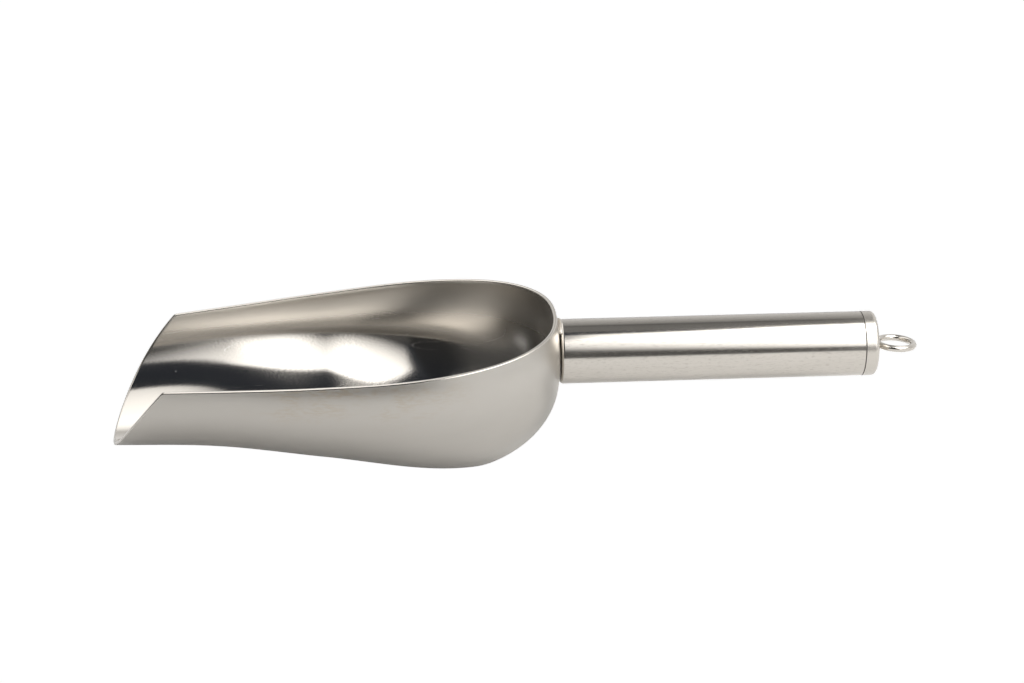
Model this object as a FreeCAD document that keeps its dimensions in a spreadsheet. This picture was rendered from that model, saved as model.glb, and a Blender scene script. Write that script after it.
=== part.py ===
import FreeCAD, Part
import math
import os

import Sketcher

# Small metal scoop with a tubular handle and a hanging ring, in millimetres.
# Frame: +Z up, +X along the handle towards the ring, +Y to the left of the handle.
# Origin: centre of the underside of the bounding box, so that the scoop's belly stands on Z = 0.
# Every sub-part is drawn about the handle's axis, with X = 0 on the handle's closed end, and then
# placed at (handle_start, 0, belly_depth).

SIZES = [
    # alias, value, meaning
    ("handle_start", 12.4, "X of the handle's closed end"),
    ("sheet_thickness", 1.1, "bowl sheet"),
    ("seat_gap", 0.3, "bowl's back to the handle's closed end"),
    ("seat_radius", 7.4, "flat pad on the bowl's back"),
    ("dome_length", 35.4, "round back, measured along the axis"),
    ("dome_radius", 34.4, "round back, full radius"),
    ("dome_front", 20.4, "handle's end to where the round back takes over"),
    ("widest_at", 44.4, "handle's end to the widest section"),
    ("widest_half_width", 35.8, "half-width there"),
    ("belly_at", 28.4, "handle's end to the deepest section"),
    ("belly_depth", 32.8, "depth there, below the axis, and the axis's height above Z = 0"),
    ("middle_at", 68.4, "handle's end to the middle section"),
    ("middle_half_width", 33.8, "half-width there"),
    ("middle_depth", 27.2, "depth there"),
    ("bend_at", 98.4, "handle's end to the section where the underside turns level"),
    ("bend_half_width", 29.3, "half-width there"),
    ("bend_depth", 23.4, "depth there"),
    ("lip_at", 131.4, "handle's end to the section just ahead of the lip"),
    ("lip_half_width", 23.8, "half-width there"),
    ("lip_depth", 23.4, "depth there"),
    ("blank_end", 136.4, "front of the untrimmed pressing"),
    ("rim_back_height", 12.4, "rim above the axis, at the handle"),
    ("rim_corner_at", 113.1, "handle's end to the rim's front corners"),
    ("rim_corner_height", 3.2, "rim above the axis, at the corners"),
    ("rim_radius", 2600.0, "rim's hollow curve, seen from the side"),
    ("mouth_tip_at", 130.8, "handle's end to the lip's tip"),
    ("mouth_tip_depth", 23.6, "tip below the axis"),
    ("mouth_radius", 110.0, "mouth's bulging curve, seen from the side"),
    ("corner_radius", 1.6, "rounding of the rim's front corners"),
    ("tube_diameter", 19.0, "handle, outside"),
    ("tube_wall", 0.8, "handle, wall"),
    ("tube_length", 89.1, "handle, without its cap"),
    ("nose_radius", 1.0, "outside rounding of the closed end"),
    ("cap_length", 4.0, "cap, outside the tube"),
    ("cap_rounding", 1.2, "cap's outer edge"),
    ("seam_chamfer", 0.15, "edge break at the cap's seam"),
    ("spigot_length", 9.0, "cap, inside the tube"),
    ("cap_wall", 1.4, "cap's spigot wall"),
    ("cap_floor", 2.6, "cap's end thickness"),
    ("hole_diameter", 1.94, "cap's centre hole"),
    ("wire_diameter", 1.9, "ring wire"),
    ("stem_diameter", 1.8, "ring's stem"),
    ("eye_radius", 5.3, "ring, to the wire's centre line"),
    ("eye_gap", 0.3, "cap's face to the ring"),
    ("eye_droop", 3.1, "ring's slope down from the stem, in degrees"),
    ("eye_roll", -6.5, "ring's turn about the stem at rest, in degrees"),
    ("stem_tail", 0.5, "stem, past the washer"),
    ("washer_diameter", 6.0, "retaining washer"),
    ("washer_thickness", 1.0, "retaining washer"),
    ("washer_gap", 0.3, "cap's inner face to the washer"),
    ("nugget_radius", 4.0, "weld on the handle's axis"),
    ("bead_radius", 0.72, "weld bead's section"),
    ("bead_centre_x", 0.05, "bead's centre, along the axis"),
    ("bead_centre_radius", 9.1, "bead's centre, from the axis"),
    ("bead_half_angle", 28.0, "bead's reach each side of the top, in degrees"),
]

# Sections that carry the pressing's surface, ahead of the round back and round it, and points in each.
FRONT_ROWS = 26
DOME_ROWS = 14
SECTION_POINTS = 33

# Reach of the trimming block past the pressing, in millimetres.
TRIM_HALF_WIDTH = 60.0
TRIM_DEPTH = 50.0
TRIM_REAR = 6.0

# Bulges that the trimming outline's arcs are drawn with, before their radii are set.
RIM_SAG = 0.6
MOUTH_SAG = 1.2

# How near an edge's middle has to be to the place where it is looked for.
EDGE_TOLERANCE = 0.001

X_AXIS = FreeCAD.Vector(1, 0, 0)
Y_AXIS = FreeCAD.Vector(0, 1, 0)
Z_AXIS = FreeCAD.Vector(0, 0, 1)


def make_sheet(doc):
    """Spreadsheet with the driving dimensions."""
    sheet = doc.addObject("Spreadsheet::Sheet", "Sizes")
    for row, (alias, value, meaning) in enumerate(SIZES, start=1):
        sheet.set("A%d" % row, alias)
        sheet.set("B%d" % row, str(value))
        sheet.set("C%d" % row, meaning)
        sheet.setAlias("B%d" % row, alias)
    doc.recompute()
    return sheet


def bind(thing, **links):
    """Bind properties to expressions of the sheet's cells. A double underscore stands for a dot."""
    for name, expression in links.items():
        thing.setExpression(name.replace("__", "."), expression)


def formula(terms):
    """Expression for a sum of terms, each a factor and an alias."""
    return " + ".join("%s * Sizes.%s" % term for term in terms)


def total(size, terms):
    """Present value of a sum of terms, each a factor and an alias."""
    return sum(factor * size(alias) for factor, alias in terms)


def put_in_frame(thing):
    """Move an object drawn about the handle's axis to its place in the frame."""
    bind(thing, Placement__Base__x="Sizes.handle_start", Placement__Base__z="Sizes.belly_depth")


# ---------------------------------------------------------------- bowl


def fill_slopes(stations):
    """Give each station with no slope the mean of its neighbours' slopes, weighted by distance."""
    filled = []
    for index, (x, radius, slope) in enumerate(stations):
        if slope is None:
            ahead = stations[index + 1]
            rise_ahead = (ahead[1] - radius) / (ahead[0] - x)
            if index == 0:
                slope = rise_ahead
            else:
                behind = stations[index - 1]
                rise_behind = (radius - behind[1]) / (x - behind[0])
                span_behind = x - behind[0]
                span_ahead = ahead[0] - x
                slope = (rise_behind * span_ahead + rise_ahead * span_behind) / (span_ahead + span_behind)
        filled.append((x, radius, slope))
    return filled


def radius_at(x, stations):
    """Cubic curve through the stations, each an (x, radius, slope)."""
    index = 0
    while index < len(stations) - 2 and x > stations[index + 1][0]:
        index += 1
    x0, radius0, slope0 = stations[index]
    x1, radius1, slope1 = stations[index + 1]
    span = x1 - x0
    part = (x - x0) / span
    return (
        radius0 * (2 * part ** 3 - 3 * part ** 2 + 1)
        + slope0 * span * (part ** 3 - 2 * part ** 2 + part)
        + radius1 * (3 * part ** 2 - 2 * part ** 3)
        + slope1 * span * (part ** 3 - part ** 2)
    )


def bowl_sections(size, inset):
    """(x, half-width, depth) of the pressing's sections, front to back, at an inset from its outside."""
    seat_x = -size("seat_gap") - inset
    dome_length = size("dome_length") - inset
    centre_x = seat_x - dome_length
    seat_radius = size("seat_radius")
    dome_rise = size("dome_radius") - inset - seat_radius
    front_x = -size("dome_front")
    start_angle = math.asin((front_x - centre_x) / dome_length)
    front_radius = seat_radius + dome_rise * math.cos(start_angle)
    front_slope = -dome_rise / dome_length * math.tan(start_angle)

    def stations(crest_at, crest, ending):
        rows = [(-size(name + "_at"), size(name + ending) - inset, None) for name in ("lip", "bend", "middle")]
        rows.append((-size(crest_at), size(crest) - inset, 0.0))
        rows.append((front_x, front_radius, front_slope))
        return fill_slopes(rows)

    sides = stations("widest_at", "widest_half_width", "_half_width")
    depths = stations("belly_at", "belly_depth", "_depth")
    rows = []
    blank_x = -size("blank_end")
    for step in range(FRONT_ROWS):
        x = blank_x + (front_x - blank_x) * step / FRONT_ROWS
        rows.append((x, radius_at(x, sides), radius_at(x, depths)))
    for step in range(DOME_ROWS + 1):
        angle = start_angle + (math.pi / 2 - start_angle) * step / DOME_ROWS
        x = centre_x + dome_length * math.sin(angle)
        radius = seat_radius + dome_rise * math.cos(angle)
        rows.append((x, radius, radius))
    return rows


def section_points(x, half_width, depth):
    """Points round one elliptical section, starting and ending at its top."""
    points = []
    for step in range(SECTION_POINTS):
        turn = 2 * math.pi * step / (SECTION_POINTS - 1)
        points.append(FreeCAD.Vector(x, half_width * math.sin(turn), depth * math.cos(turn)))
    points[-1] = points[0]
    return points


def pressing_solid(size, inset):
    """Closed solid of the untrimmed pressing, with flat ends."""
    surface = Part.BSplineSurface()
    surface.interpolate([section_points(*row) for row in bowl_sections(size, inset)])
    first_u, last_u = surface.bounds()[:2]
    faces = [surface.toShape()]
    for parameter in (first_u, last_u):
        faces.append(Part.Face(Part.Wire(surface.uIso(parameter).toShape())))
    shell = Part.Shell(faces)
    shell.sewShape()
    solid = Part.Solid(shell)
    if solid.Volume < 0:
        solid.reverse()
    return solid


def vector(point):
    """Point of a sketch's plane."""
    return FreeCAD.Vector(point[0], point[1], 0)


def sagged_arc(start, end, sag):
    """Arc between two points of a sketch, bulging to the left of the way from start to end."""
    run = vector(end) - vector(start)
    side = FreeCAD.Vector(-run.y, run.x, 0).normalize()
    middle = (vector(start) + vector(end)) * 0.5 + side * sag
    return Part.Arc(vector(start), middle, vector(end))


def join(sketch, first, first_end, second, second_end):
    """Make an end of one curve meet an end of another."""
    sketch.addConstraint(Sketcher.Constraint("Coincident", first, first_end, second, second_end))


def place_point(sketch, curve, end, x=None, y=None):
    """Hold a curve's end at the X and Y that two expressions give. None leaves a direction free."""
    for kind, expression in (("DistanceX", x), ("DistanceY", y)):
        if expression is not None:
            present = getattr(sketch.getPoint(curve, end), "x" if kind == "DistanceX" else "y")
            index = sketch.addConstraint(Sketcher.Constraint(kind, -1, 1, curve, end, present))
            sketch.setExpression("Constraints[%d]" % index, expression)


def add_trim_outline(doc, size):
    """Side view of what the trimming leaves: below the rim and behind the mouth."""
    sketch = doc.addObject("Sketcher::SketchObject", "trim_outline")
    sketch.Placement = FreeCAD.Placement(FreeCAD.Vector(), FreeCAD.Rotation(X_AXIS, 90))
    corner = (-size("rim_corner_at"), size("rim_corner_height"))
    tip = (-size("mouth_tip_at"), -size("mouth_tip_depth"))
    low_front = (tip[0], -TRIM_DEPTH)
    low_rear = (TRIM_REAR, -TRIM_DEPTH)
    high_rear = (TRIM_REAR, size("rim_back_height"))
    rim_back = (0, size("rim_back_height"))
    rim = sketch.addGeometry(sagged_arc(corner, rim_back, -RIM_SAG), False)
    mouth = sketch.addGeometry(sagged_arc(corner, tip, -MOUTH_SAG), False)
    corners = [tip, low_front, low_rear, high_rear, rim_back]
    lines = []
    for start, end in zip(corners, corners[1:]):
        lines.append(sketch.addGeometry(Part.LineSegment(vector(start), vector(end)), False))
    join(sketch, rim, 1, mouth, 1)
    join(sketch, mouth, 2, lines[0], 1)
    for first, second in zip(lines, lines[1:]):
        join(sketch, first, 2, second, 1)
    join(sketch, lines[-1], 2, rim, 2)
    for line, kind in zip(lines, ("Vertical", "Horizontal", "Vertical", "Horizontal")):
        sketch.addConstraint(Sketcher.Constraint(kind, line))
    place_point(sketch, rim, 1, "-Sizes.rim_corner_at", "Sizes.rim_corner_height")
    place_point(sketch, mouth, 2, "-Sizes.mouth_tip_at", "-Sizes.mouth_tip_depth")
    place_point(sketch, lines[1], 2, str(TRIM_REAR), str(-TRIM_DEPTH))
    place_point(sketch, lines[3], 2, None, "Sizes.rim_back_height")
    sketch.addConstraint(Sketcher.Constraint("PointOnObject", lines[3], 2, -2))
    for curve, expression in ((rim, "Sizes.rim_radius"), (mouth, "Sizes.mouth_radius")):
        radius = sketch.Geometry[curve].Radius
        index = sketch.addConstraint(Sketcher.Constraint("Radius", curve, radius))
        sketch.setExpression("Constraints[%d]" % index, expression)
    return sketch


def edge_numbers(shape, test):
    """Numbers of the edges whose middle passes a test, counted from 1."""
    numbers = []
    for number, edge in enumerate(shape.Edges, start=1):
        middle = edge.valueAt((edge.FirstParameter + edge.LastParameter) / 2)
        if test(middle):
            numbers.append(number)
    return numbers


def add_bowl(doc, size):
    """Pressed sheet, trimmed along its rim and mouth."""
    outside = doc.addObject("Part::Feature", "pressing_outside")
    outside.Shape = pressing_solid(size, 0.0)
    inside = doc.addObject("Part::Feature", "pressing_inside")
    inside.Shape = pressing_solid(size, size("sheet_thickness"))
    pressing = doc.addObject("Part::Cut", "pressing")
    pressing.Base = outside
    pressing.Tool = inside
    block = doc.addObject("Part::Extrusion", "trim_block")
    block.Base = add_trim_outline(doc, size)
    block.Dir = Y_AXIS
    block.DirMode = "Custom"
    block.LengthFwd = 2 * TRIM_HALF_WIDTH
    block.Symmetric = True
    block.Solid = True
    doc.recompute()
    corner = FreeCAD.Vector(-size("rim_corner_at"), 0, size("rim_corner_height"))
    corner_edges = edge_numbers(block.Shape, lambda middle: middle.distanceToPoint(corner) < EDGE_TOLERANCE)
    rounded_block = doc.addObject("Part::Fillet", "rounded_trim_block")
    rounded_block.Base = block
    radius = size("corner_radius")
    rounded_block.Edges = [(number, radius, radius) for number in corner_edges]
    bowl = doc.addObject("Part::Common", "bowl")
    bowl.Base = pressing
    bowl.Tool = rounded_block
    put_in_frame(bowl)
    return bowl, outside


# ---------------------------------------------------------------- turned pieces


def add_turned_body(doc, size, name, corners):
    """Body turned about the X axis. Each corner is a pair of sums of terms, along and away from the axis."""
    body = doc.addObject("PartDesign::Body", name)
    plane = [feature for feature in body.Origin.OriginFeatures if feature.Role == "XZ_Plane"][0]
    sketch = body.newObject("Sketcher::SketchObject", name + "_profile")
    sketch.AttachmentSupport = (plane, "")
    sketch.MapMode = "FlatFace"
    places = [tuple(total(size, terms) for terms in corner) for corner in corners]
    lines = []
    for start, end in zip(places, places[1:] + places[:1]):
        lines.append(sketch.addGeometry(Part.LineSegment(vector(start), vector(end)), False))
    for index, line in enumerate(lines):
        join(sketch, line, 2, lines[(index + 1) % len(lines)], 1)
    for line, corner in zip(lines, corners):
        for axis_line, terms, direction in ((-2, corner[0], "x"), (-1, corner[1], "y")):
            if terms:
                place_point(sketch, line, 1, **{direction: formula(terms)})
            else:
                sketch.addConstraint(Sketcher.Constraint("PointOnObject", line, 1, axis_line))
    revolution = body.newObject("PartDesign::Revolution", name + "_turning")
    revolution.Profile = sketch
    revolution.ReferenceAxis = (sketch, ["H_Axis"])
    revolution.Angle = 360
    doc.recompute()
    return body, revolution


def add_edge_feature(doc, size, name, base, corner, bound):
    """Fillet or chamfer, as the bound size says, of the circular edge that a corner turned into."""
    x, radius = (total(size, terms) for terms in corner)

    def on_edge(middle):
        return math.hypot(middle.x - x, math.hypot(middle.y, middle.z) - radius) < EDGE_TOLERANCE

    kind = "PartDesign::Fillet" if "Radius" in bound else "PartDesign::Chamfer"
    feature = base.getParent().newObject(kind, name)
    feature.Base = (base, ["Edge%d" % number for number in edge_numbers(base.Shape, on_edge)])
    bind(feature, **bound)
    doc.recompute()
    return feature


def add_handle_tube(doc, size):
    """Drawn tube, closed at the bowl's end."""
    outer = [(0.5, "tube_diameter")]
    inner = [(0.5, "tube_diameter"), (-1, "tube_wall")]
    end = [(1, "tube_length")]
    floor = [(1, "tube_wall")]
    body, turning = add_turned_body(doc, size, "handle_tube", [
        ([], []),
        ([], outer),
        (end, outer),
        (end, inner),
        (floor, inner),
        (floor, []),
    ])
    nose = add_edge_feature(doc, size, "nose_rounding", turning, ([], outer),
                            {"Radius": "Sizes.nose_radius"})
    add_edge_feature(doc, size, "nose_inside", nose, (floor, inner),
                     {"Radius": "Sizes.nose_radius - Sizes.tube_wall"})
    put_in_frame(body)
    return body


def add_end_cap(doc, size):
    """Cap with a spigot that fits in the tube, and a centre hole for the ring's stem."""
    outer = [(0.5, "tube_diameter")]
    spigot = outer + [(-1, "tube_wall")]
    bore = spigot + [(-1, "cap_wall")]
    hole = [(0.5, "hole_diameter")]
    seam = [(1, "tube_length")]
    face = seam + [(1, "cap_length")]
    floor = face + [(-1, "cap_floor")]
    spigot_end = seam + [(-1, "spigot_length")]
    body, turning = add_turned_body(doc, size, "end_cap", [
        (face, hole),
        (face, outer),
        (seam, outer),
        (seam, spigot),
        (spigot_end, spigot),
        (spigot_end, bore),
        (floor, bore),
        (floor, hole),
    ])
    rounding = add_edge_feature(doc, size, "cap_rounding", turning, (face, outer),
                                {"Radius": "Sizes.cap_rounding"})
    add_edge_feature(doc, size, "seam_chamfer", rounding, (seam, outer),
                     {"Size": "Sizes.seam_chamfer"})
    put_in_frame(body)
    return body


# ---------------------------------------------------------------- ring and its washer


def along_axis(thing, x):
    """Turn a cylinder or torus made about Z so that it lies along the handle's axis, from X = x."""
    thing.Placement = FreeCAD.Placement(FreeCAD.Vector(), FreeCAD.Rotation(Y_AXIS, 90))
    bind(thing, Placement__Base__x=x)


def add_cylinder(doc, name, x, length, radius):
    """Cylinder along the handle's axis, from X = x."""
    cylinder = doc.addObject("Part::Cylinder", name)
    bind(cylinder, Radius=radius, Height=length)
    along_axis(cylinder, x)
    return cylinder


def add_hang_ring(doc):
    """Round wire eye on a straight stem, which turns in the cap's hole."""
    face = "Sizes.tube_length + Sizes.cap_length"
    stem_inside = "Sizes.cap_floor + Sizes.washer_gap + Sizes.washer_thickness + Sizes.stem_tail"
    stem_outside = "Sizes.eye_gap + Sizes.wire_diameter / 2"
    stem = add_cylinder(doc, "ring_stem", "%s - (%s)" % (face, stem_inside),
                        "%s + %s" % (stem_inside, stem_outside), "Sizes.stem_diameter / 2")
    eye = doc.addObject("Part::Torus", "ring_eye")
    eye.Placement = FreeCAD.Placement(FreeCAD.Vector(), FreeCAD.Rotation(Y_AXIS, 1))
    bind(eye,
         Radius1="Sizes.eye_radius",
         Radius2="Sizes.wire_diameter / 2",
         Placement__Rotation__Angle="Sizes.eye_droop",
         Placement__Base__x="%s + %s + Sizes.eye_radius * cos(Sizes.eye_droop * 1 deg)" % (face, stem_outside),
         Placement__Base__z="-Sizes.eye_radius * sin(Sizes.eye_droop * 1 deg)")
    ring = doc.addObject("Part::MultiFuse", "hang_ring")
    ring.Shapes = [eye, stem]
    ring.Placement = FreeCAD.Placement(FreeCAD.Vector(), FreeCAD.Rotation(X_AXIS, 1))
    bind(ring, Placement__Rotation__Angle="Sizes.eye_roll")
    put_in_frame(ring)
    return ring


def add_ring_washer(doc):
    """Washer fixed on the stem inside the cap, which keeps the ring in."""
    x = "Sizes.tube_length + Sizes.cap_length - Sizes.cap_floor - Sizes.washer_gap - Sizes.washer_thickness"
    washer = doc.addObject("Part::Cut", "ring_washer")
    washer.Base = add_cylinder(doc, "washer_disc", x, "Sizes.washer_thickness", "Sizes.washer_diameter / 2")
    washer.Tool = add_cylinder(doc, "washer_hole", x, "Sizes.washer_thickness", "Sizes.stem_diameter / 2")
    put_in_frame(washer)
    return washer


# ---------------------------------------------------------------- welds


def add_seat_weld(doc):
    """Weld metal between the bowl's flat pad and the handle's closed end."""
    weld = add_cylinder(doc, "seat_weld", "-Sizes.seat_gap", "Sizes.seat_gap", "Sizes.nugget_radius")
    bind(weld, Placement__Base__x="Sizes.handle_start - Sizes.seat_gap", Placement__Base__z="Sizes.belly_depth")
    return weld


def add_top_weld_bead(doc, size, handle_tube, outside):
    """Bead in the groove over the top of the joint, its ends rounded."""
    half_angle = size("bead_half_angle")
    start = FreeCAD.Rotation(X_AXIS, -half_angle).multVec(Z_AXIS)
    run = doc.addObject("Part::Torus", "bead_run")
    run.Placement = FreeCAD.Placement(
        FreeCAD.Vector(), FreeCAD.Rotation(start, X_AXIS.cross(start), X_AXIS, "ZXY"))
    bind(run,
         Radius1="Sizes.bead_centre_radius",
         Radius2="Sizes.bead_radius",
         Angle3="2 * Sizes.bead_half_angle",
         Placement__Base__x="Sizes.bead_centre_x")
    pieces = [run]
    for side, sign in (("left", 1), ("right", -1)):
        end = doc.addObject("Part::Sphere", "bead_end_" + side)
        bind(end,
             Radius="Sizes.bead_radius",
             Placement__Base__x="Sizes.bead_centre_x",
             Placement__Base__y="%d * Sizes.bead_centre_radius * sin(Sizes.bead_half_angle * 1 deg)" % sign,
             Placement__Base__z="Sizes.bead_centre_radius * cos(Sizes.bead_half_angle * 1 deg)")
        pieces.append(end)
    rod = doc.addObject("Part::MultiFuse", "bead_rod")
    rod.Shapes = pieces
    put_in_frame(rod)
    against_tube = doc.addObject("Part::Cut", "bead_against_tube")
    against_tube.Base = rod
    against_tube.Tool = handle_tube
    placed_outside = doc.addObject("Part::Feature", "placed_pressing_outside")
    placed_outside.Shape = outside.Shape
    put_in_frame(placed_outside)
    bead = doc.addObject("Part::Cut", "top_weld_bead")
    bead.Base = against_tube
    bead.Tool = placed_outside
    return bead


# ---------------------------------------------------------------- document


def check_and_export(doc, parts):
    """Stop on any failed object or bad shape, then write one file per sub-part."""
    for thing in doc.Objects:
        if "Invalid" in thing.State or "Error" in thing.State:
            raise RuntimeError("%s failed: %s" % (thing.Label, thing.State))
    for part in parts:
        shape = part.Shape
        if shape.isNull() or not shape.isValid() or not shape.Solids or shape.Volume <= 0:
            raise RuntimeError("%s has a bad shape" % part.Label)
    os.makedirs("parts", exist_ok=True)
    for part in parts:
        part.Shape.exportStep("parts/%s.step" % part.Label)
        box = part.Shape.BoundBox
        print("%s: %d solid, %.2f mm3, box %.2f %.2f %.2f to %.2f %.2f %.2f" % (
            part.Label, len(part.Shape.Solids), part.Shape.Volume,
            box.XMin, box.YMin, box.ZMin, box.XMax, box.YMax, box.ZMax))


def main():
    doc = FreeCAD.newDocument("ice_scoop")
    sheet = make_sheet(doc)
    size = sheet.get
    bowl, outside = add_bowl(doc, size)
    handle_tube = add_handle_tube(doc, size)
    end_cap = add_end_cap(doc, size)
    hang_ring = add_hang_ring(doc)
    ring_washer = add_ring_washer(doc)
    seat_weld = add_seat_weld(doc)
    top_weld_bead = add_top_weld_bead(doc, size, handle_tube, outside)
    doc.recompute()
    parts = [bowl, seat_weld, top_weld_bead, handle_tube, end_cap, hang_ring, ring_washer]
    check_and_export(doc, parts)


main()
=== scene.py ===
import math

import bmesh
import bpy
from mathutils import Matrix, Quaternion, Vector


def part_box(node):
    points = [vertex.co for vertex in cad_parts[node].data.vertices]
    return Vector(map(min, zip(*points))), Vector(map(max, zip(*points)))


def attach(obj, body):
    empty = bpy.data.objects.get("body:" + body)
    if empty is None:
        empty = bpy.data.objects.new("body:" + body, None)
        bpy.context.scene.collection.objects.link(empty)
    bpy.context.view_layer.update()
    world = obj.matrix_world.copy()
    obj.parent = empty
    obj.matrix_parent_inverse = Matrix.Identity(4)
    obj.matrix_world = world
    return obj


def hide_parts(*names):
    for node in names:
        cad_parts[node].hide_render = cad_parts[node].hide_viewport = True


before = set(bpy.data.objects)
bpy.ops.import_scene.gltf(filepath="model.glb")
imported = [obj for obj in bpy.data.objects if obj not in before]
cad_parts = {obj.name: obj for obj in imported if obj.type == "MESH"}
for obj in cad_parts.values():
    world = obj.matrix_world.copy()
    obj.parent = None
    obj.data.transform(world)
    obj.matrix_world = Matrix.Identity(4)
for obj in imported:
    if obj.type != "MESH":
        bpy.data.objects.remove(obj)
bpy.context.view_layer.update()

# Pieces are drawn in millimetres about the handle's axis, with X = 0 on the handle's closed end, and
# carried into the frame, in metres, by to_frame.
MM = 0.001
TUBE_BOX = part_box("handle_tube")
CAP_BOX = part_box("end_cap")
HANDLE_START = TUBE_BOX[0].x / MM
AXIS_HEIGHT = (TUBE_BOX[0].z + TUBE_BOX[1].z) / 2 / MM
TUBE_RADIUS = (TUBE_BOX[1].z - TUBE_BOX[0].z) / 2 / MM
TUBE_LENGTH = (TUBE_BOX[1].x - TUBE_BOX[0].x) / MM
CAP_FACE = (CAP_BOX[1].x - TUBE_BOX[0].x) / MM

# Bowl: (distance ahead of the handle's end, size) of the sections that shape it, front to back.
HALF_WIDTHS = [(131.4, 23.8), (98.4, 29.3), (68.4, 33.8), (44.4, 35.8)]
DEPTHS = [(131.4, 23.4), (98.4, 23.4), (68.4, 27.2), (28.4, 32.8)]
SHEET = 1.1
SEAT_GAP = 0.3
SEAT_RADIUS = 7.4
DOME_LENGTH = 35.4
DOME_RADIUS = 34.4
DOME_FRONT = 20.4

# Trimming, in the side view: the rim's and the mouth's arcs and the rounding where they meet.
CORNER = (-113.1, 3.2)
RIM_BACK = (0.0, 12.4)
MOUTH_TIP = (-130.8, -23.6)
RIM_RADIUS = 2600.0
MOUTH_RADIUS = 110.0
CORNER_RADIUS = 1.6
EDGE_ROUNDING = 0.38


def to_frame(x, y, z):
    """Point about the handle's axis, in millimetres, as a point of the frame, in metres."""
    return Vector((x + HANDLE_START, y, z + AXIS_HEIGHT)) * MM


# ---------------------------------------------------------------- bowl's surfaces


class Surface:
    """Outside of the pressing, or its inside at an inset: elliptical sections about the axis."""

    def __init__(self, inset):
        self.dome_length = DOME_LENGTH - inset
        self.dome_rise = DOME_RADIUS - inset - SEAT_RADIUS
        self.seat_x = -SEAT_GAP - inset
        self.centre_x = self.seat_x - self.dome_length
        angle = math.asin((-DOME_FRONT - self.centre_x) / self.dome_length)
        junction = (-DOME_FRONT, SEAT_RADIUS + self.dome_rise * math.cos(angle),
                    -self.dome_rise / self.dome_length * math.tan(angle))
        self.half_widths = self.stations(HALF_WIDTHS, inset, junction)
        self.depths = self.stations(DEPTHS, inset, junction)

    @staticmethod
    def stations(sizes, inset, junction):
        """(x, radius, slope) of each station. The widest or deepest one is level."""
        rows = [(-at, size - inset) for at, size in sizes]
        filled = []
        for index, (x, radius) in enumerate(rows[:-1]):
            ahead = rows[index + 1]
            slope = (ahead[1] - radius) / (ahead[0] - x)
            if index > 0:
                before = rows[index - 1]
                slope_before = (radius - before[1]) / (x - before[0])
                slope = (slope_before * (ahead[0] - x) + slope * (x - before[0])) / (ahead[0] - before[0])
            filled.append((x, radius, slope))
        filled.append((rows[-1][0], rows[-1][1], 0.0))
        filled.append(junction)
        return filled

    @staticmethod
    def radius_at(x, stations):
        """Cubic curve through the stations."""
        index = 0
        while index < len(stations) - 2 and x > stations[index + 1][0]:
            index += 1
        x0, radius0, slope0 = stations[index]
        x1, radius1, slope1 = stations[index + 1]
        span = x1 - x0
        part = (x - x0) / span
        return (radius0 * (2 * part ** 3 - 3 * part ** 2 + 1)
                + slope0 * span * (part ** 3 - 2 * part ** 2 + part)
                + radius1 * (3 * part ** 2 - 2 * part ** 3)
                + slope1 * span * (part ** 3 - part ** 2))

    def size_at(self, x):
        """Half-width and depth of the section at x."""
        if x <= -DOME_FRONT:
            return self.radius_at(x, self.half_widths), self.radius_at(x, self.depths)
        sine = min(1.0, (x - self.centre_x) / self.dome_length)
        radius = SEAT_RADIUS + self.dome_rise * math.sqrt(1 - sine * sine)
        return radius, radius

    def point(self, x, angle):
        """Point of the section at x, at an angle from the bottom."""
        half_width, depth = self.size_at(x)
        return Vector((x, half_width * math.sin(angle), -depth * math.cos(angle)))


class Arc:
    """Arc of the trimming's side view. Sign is 1 where the sheet lies inside the circle, or else -1."""

    def __init__(self, centre, radius, sign):
        self.centre = centre
        self.radius = radius
        self.sign = sign

    @classmethod
    def through(cls, start, end, radius, sign):
        """Arc from start to end, with its centre to the left of that way."""
        run = Vector(end) - Vector(start)
        side = Vector((-run.y, run.x)).normalized()
        middle = (Vector(start) + Vector(end)) / 2
        return cls(middle + side * math.sqrt(radius ** 2 - run.length_squared / 4), radius, sign)

    def height(self, x, offset):
        """Z at x of the arc moved into the sheet by an offset."""
        radius = self.radius - self.sign * offset
        return self.centre.y + self.sign * math.sqrt(radius ** 2 - (x - self.centre.x) ** 2)

    def outward(self, x, z):
        """Direction out of the sheet, across the cut."""
        return (Vector((x, z)) - self.centre).normalized() * self.sign


def meet(first, second, offset):
    """Upper crossing of two arcs moved into the sheet by an offset, which is a rounding's centre."""
    radius1 = first.radius - first.sign * offset
    radius2 = second.radius - second.sign * offset
    across = second.centre - first.centre
    along = (radius1 ** 2 - radius2 ** 2 + across.length_squared) / (2 * across.length)
    height = math.sqrt(radius1 ** 2 - along ** 2)
    unit = across.normalized()
    base = first.centre + unit * along
    crossings = [base + Vector((-unit.y, unit.x)) * height * sign for sign in (1, -1)]
    return min(crossings, key=lambda point: (point - Vector(CORNER)).length)


RIM = Arc.through(CORNER, RIM_BACK, RIM_RADIUS, -1)
MOUTH = Arc.through(CORNER, MOUTH_TIP, MOUTH_RADIUS, 1)
ROUNDING = Arc(meet(RIM, MOUTH, CORNER_RADIUS), CORNER_RADIUS, 1)


def cut_at(x, offset):
    """Height of the cut at x, moved into the sheet by an offset, and its outward direction."""
    rounding_start = ROUNDING.centre + MOUTH.outward(*ROUNDING.centre) * (CORNER_RADIUS - offset)
    rounding_end = ROUNDING.centre + RIM.outward(*ROUNDING.centre) * (CORNER_RADIUS - offset)
    arc = ROUNDING
    if x < rounding_start.x:
        arc = MOUTH
    elif x > rounding_end.x:
        arc = RIM
    height = arc.height(x, offset)
    return height, arc.outward(x, height)


BISECTIONS = 60


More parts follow.
